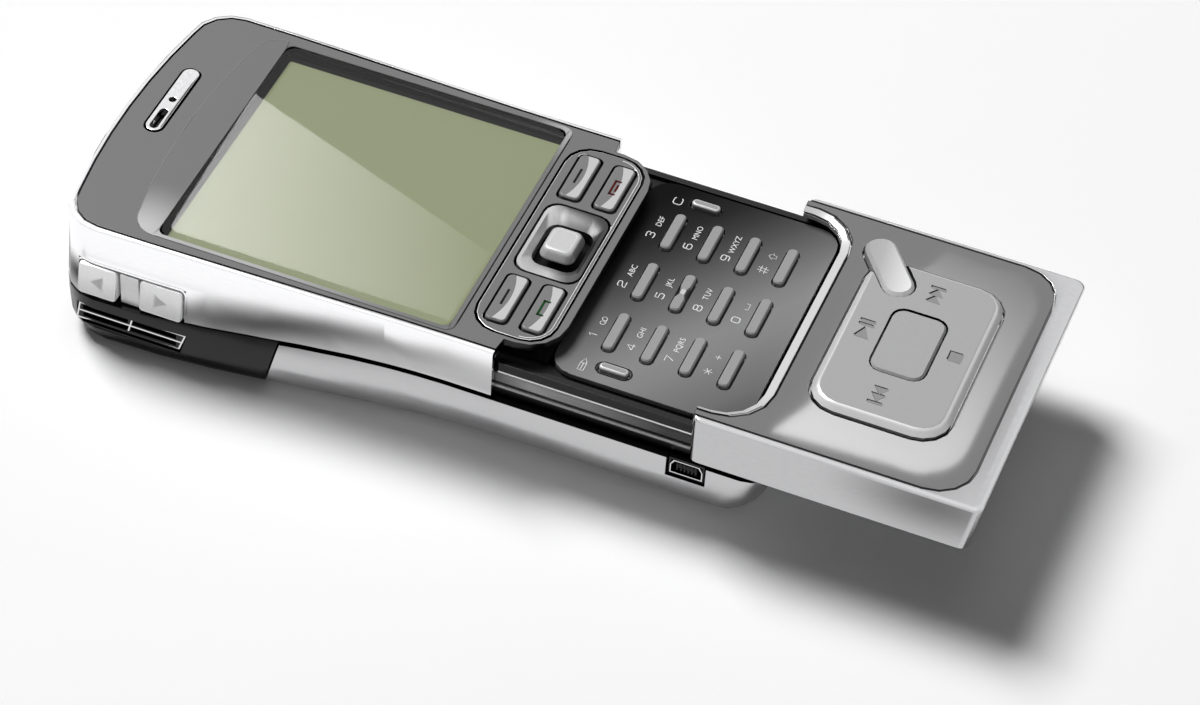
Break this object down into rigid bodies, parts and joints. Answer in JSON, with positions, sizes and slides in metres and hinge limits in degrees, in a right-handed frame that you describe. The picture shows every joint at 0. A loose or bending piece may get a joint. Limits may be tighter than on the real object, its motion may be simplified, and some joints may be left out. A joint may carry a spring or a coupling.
{
  "type": "slider phone",
  "caption": "Slider phone lying on its back, open: display and navigation block on the body, cover with music keys slid down off the keypad.",
  "frame": {"origin": "middle of the shut phone's length and width, on the flat of its back", "axes": "+Y towards the earpiece end, +X to the right as the user reads the display, +Z out of the display"},
  "size_m": [0.0552, 0.143, 0.023],
  "materials": {
    "polished_silver": "polished",
    "grey_panel": "satin",
    "chrome_trim": "polished",
    "black_plastic": "satin",
    "window_glass": "polished",
    "display_green": "semi-gloss",
    "grey_key": "satin",
    "dark_keypad": "satin",
    "music_grey": "satin",
    "silver_key": "gloss",
    "circuit_board": "matt",
    "battery_case": "matt",
    "rail_steel": "brushed"
  },
  "bodies": {
    "phone_body": {"upper_housing": "polished_silver", "front_panel": "grey_panel", "display_window": "window_glass", "display_module": "display_green", "earpiece_trim": "chrome_trim", "earpiece_speaker": "black_plastic", "nav_plate": "grey_panel", "nav_board": "circuit_board", "joystick_surround": "polished_silver", "keypad_plate": "dark_keypad", "keypad_board": "circuit_board", "chassis": "black_plastic", "screw_left": "rail_steel", "screw_right": "rail_steel", "slide_rail_left": "rail_steel", "slide_rail_right": "rail_steel", "rear_shell": "black_plastic", "back_cover": "polished_silver", "speaker_grille": "polished_silver", "loudspeaker": "black_plastic", "usb_socket": "rail_steel", "main_board": "circuit_board", "battery": "battery_case", "disk_drive": "rail_steel", "camera": "black_plastic", "headphone_jack": "black_plastic"},
    "cover": {"cover_housing": "polished_silver", "cover_panel": "grey_panel", "cover_lip": "chrome_trim", "cover_runner_left": "black_plastic", "cover_runner_right": "black_plastic"},
    "soft_key_left": {"soft_key_left": "grey_key"},
    "soft_key_right": {"soft_key_right": "grey_key"},
    "call_key": {"call_key": "grey_key"},
    "end_key": {"end_key": "grey_key"},
    "joystick_plunger": {"joystick_plunger": "black_plastic"},
    "joystick_pivot": {"joystick_pivot": "black_plastic"},
    "joystick_cap": {"joystick_cap": "silver_key"},
    "edit_key": {"edit_key": "silver_key"},
    "clear_key": {"clear_key": "silver_key"},
    "music_pad": {"music_pad": "music_grey"},
    "music_centre_key": {"music_centre_key": "music_grey"},
    "music_oval_key": {"music_oval_key": "silver_key"},
    "volume_key_down": {"volume_key_down": "silver_key"},
    "volume_key_up": {"volume_key_up": "silver_key"},
    "power_button": {"power_button": "silver_key"},
    "hold_switch": {"hold_switch": "silver_key"},
    "key_1": {"key_1": "grey_key"},
    "key_2": {"key_2": "grey_key"},
    "key_3": {"key_3": "grey_key"},
    "key_4": {"key_4": "grey_key"},
    "key_5": {"key_5": "grey_key"},
    "key_6": {"key_6": "grey_key"},
    "key_7": {"key_7": "grey_key"},
    "key_8": {"key_8": "grey_key"},
    "key_9": {"key_9": "grey_key"},
    "key_star": {"key_star": "grey_key"},
    "key_0": {"key_0": "grey_key"},
    "key_hash": {"key_hash": "grey_key"}
  },
  "joints": [
    {"name": "cover_slide", "type": "slide", "parent": "phone_body", "child": "cover", "axis": [0, 1, 0], "range_m": [0, 0.0296]},
    {"name": "key_1_press", "type": "slide", "parent": "phone_body", "child": "key_1", "axis": [0, 0, -1], "range_m": [0, 0.0003], "stiffness_N_per_m": 2000},
    {"name": "key_2_press", "type": "slide", "parent": "phone_body", "child": "key_2", "axis": [0, 0, -1], "range_m": [0, 0.0003], "stiffness_N_per_m": 2000},
    {"name": "key_3_press", "type": "slide", "parent": "phone_body", "child": "key_3", "axis": [0, 0, -1], "range_m": [0, 0.0003], "stiffness_N_per_m": 2000},
    {"name": "key_4_press", "type": "slide", "parent": "phone_body", "child": "key_4", "axis": [0, 0, -1], "range_m": [0, 0.0003], "stiffness_N_per_m": 2000},
    {"name": "key_5_press", "type": "slide", "parent": "phone_body", "child": "key_5", "axis": [0, 0, -1], "range_m": [0, 0.0003], "stiffness_N_per_m": 2000},
    {"name": "key_6_press", "type": "slide", "parent": "phone_body", "child": "key_6", "axis": [0, 0, -1], "range_m": [0, 0.0003], "stiffness_N_per_m": 2000},
    {"name": "key_7_press", "type": "slide", "parent": "phone_body", "child": "key_7", "axis": [0, 0, -1], "range_m": [0, 0.0003], "stiffness_N_per_m": 2000},
    {"name": "key_8_press", "type": "slide", "parent": "phone_body", "child": "key_8", "axis": [0, 0, -1], "range_m": [0, 0.0003], "stiffness_N_per_m": 2000},
    {"name": "key_9_press", "type": "slide", "parent": "phone_body", "child": "key_9", "axis": [0, 0, -1], "range_m": [0, 0.0003], "stiffness_N_per_m": 2000},
    {"name": "key_star_press", "type": "slide", "parent": "phone_body", "child": "key_star", "axis": [0, 0, -1], "range_m": [0, 0.0003], "stiffness_N_per_m": 2000},
    {"name": "key_0_press", "type": "slide", "parent": "phone_body", "child": "key_0", "axis": [0, 0, -1], "range_m": [0, 0.0003], "stiffness_N_per_m": 2000},
    {"name": "key_hash_press", "type": "slide", "parent": "phone_body", "child": "key_hash", "axis": [0, 0, -1], "range_m": [0, 0.0003], "stiffness_N_per_m": 2000},
    {"name": "edit_key_press", "type": "slide", "parent": "phone_body", "child": "edit_key", "axis": [0, 0, -1], "range_m": [0, 0.0003], "stiffness_N_per_m": 2000},
    {"name": "clear_key_press", "type": "slide", "parent": "phone_body", "child": "clear_key", "axis": [0, 0, -1], "range_m": [0, 0.0003], "stiffness_N_per_m": 2000},
    {"name": "soft_key_left_press", "type": "slide", "parent": "phone_body", "child": "soft_key_left", "axis": [0, 0, -1], "range_m": [0, 0.0003], "stiffness_N_per_m": 2000},
    {"name": "soft_key_right_press", "type": "slide", "parent": "phone_body", "child": "soft_key_right", "axis": [0, 0, -1], "range_m": [0, 0.0003], "stiffness_N_per_m": 2000},
    {"name": "call_key_press", "type": "slide", "parent": "phone_body", "child": "call_key", "axis": [0, 0, -1], "range_m": [0, 0.0003], "stiffness_N_per_m": 2000},
    {"name": "end_key_press", "type": "slide", "parent": "phone_body", "child": "end_key", "axis": [0, 0, -1], "range_m": [0, 0.0003], "stiffness_N_per_m": 2000},
    {"name": "joystick_plunger_press", "type": "slide", "parent": "phone_body", "child": "joystick_plunger", "axis": [0, 0, -1], "range_m": [0, 0.0002], "stiffness_N_per_m": 2000},
    {"name": "joystick_pitch", "type": "hinge", "parent": "joystick_plunger", "child": "joystick_pivot", "pos_m": [0, -0.01405, 0.02], "axis": [1, 0, 0], "range_deg": [-6, 6], "stiffness_Nm_per_rad": 0.02},
    {"name": "joystick_roll", "type": "hinge", "parent": "joystick_pivot", "child": "joystick_cap", "pos_m": [0, -0.01405, 0.02], "axis": [0, 1, 0], "range_deg": [-6, 6], "stiffness_Nm_per_rad": 0.02},
    {"name": "music_pad_press", "type": "slide", "parent": "cover", "child": "music_pad", "axis": [0, 0, -1], "range_m": [0, 0.00025], "stiffness_N_per_m": 2000},
    {"name": "music_centre_key_press", "type": "slide", "parent": "cover", "child": "music_centre_key", "axis": [0, 0, -1], "range_m": [0, 0.00025], "stiffness_N_per_m": 2000},
    {"name": "music_oval_key_press", "type": "slide", "parent": "cover", "child": "music_oval_key", "axis": [0, 0, -1], "range_m": [0, 0.00025], "stiffness_N_per_m": 2000},
    {"name": "volume_key_down_press", "type": "slide", "parent": "phone_body", "child": "volume_key_down", "axis": [1, 0, 0], "range_m": [0, 0.0004], "stiffness_N_per_m": 2000},
    {"name": "volume_key_up_press", "type": "slide", "parent": "phone_body", "child": "volume_key_up", "axis": [1, 0, 0], "range_m": [0, 0.0004], "stiffness_N_per_m": 2000},
    {"name": "power_button_press", "type": "slide", "parent": "phone_body", "child": "power_button", "axis": [0, -1, 0], "range_m": [0, 0.0003], "stiffness_N_per_m": 2000},
    {"name": "hold_slide", "type": "slide", "parent": "phone_body", "child": "hold_switch", "axis": [-1, 0, 0], "range_m": [0, 0.002]}
  ]
}
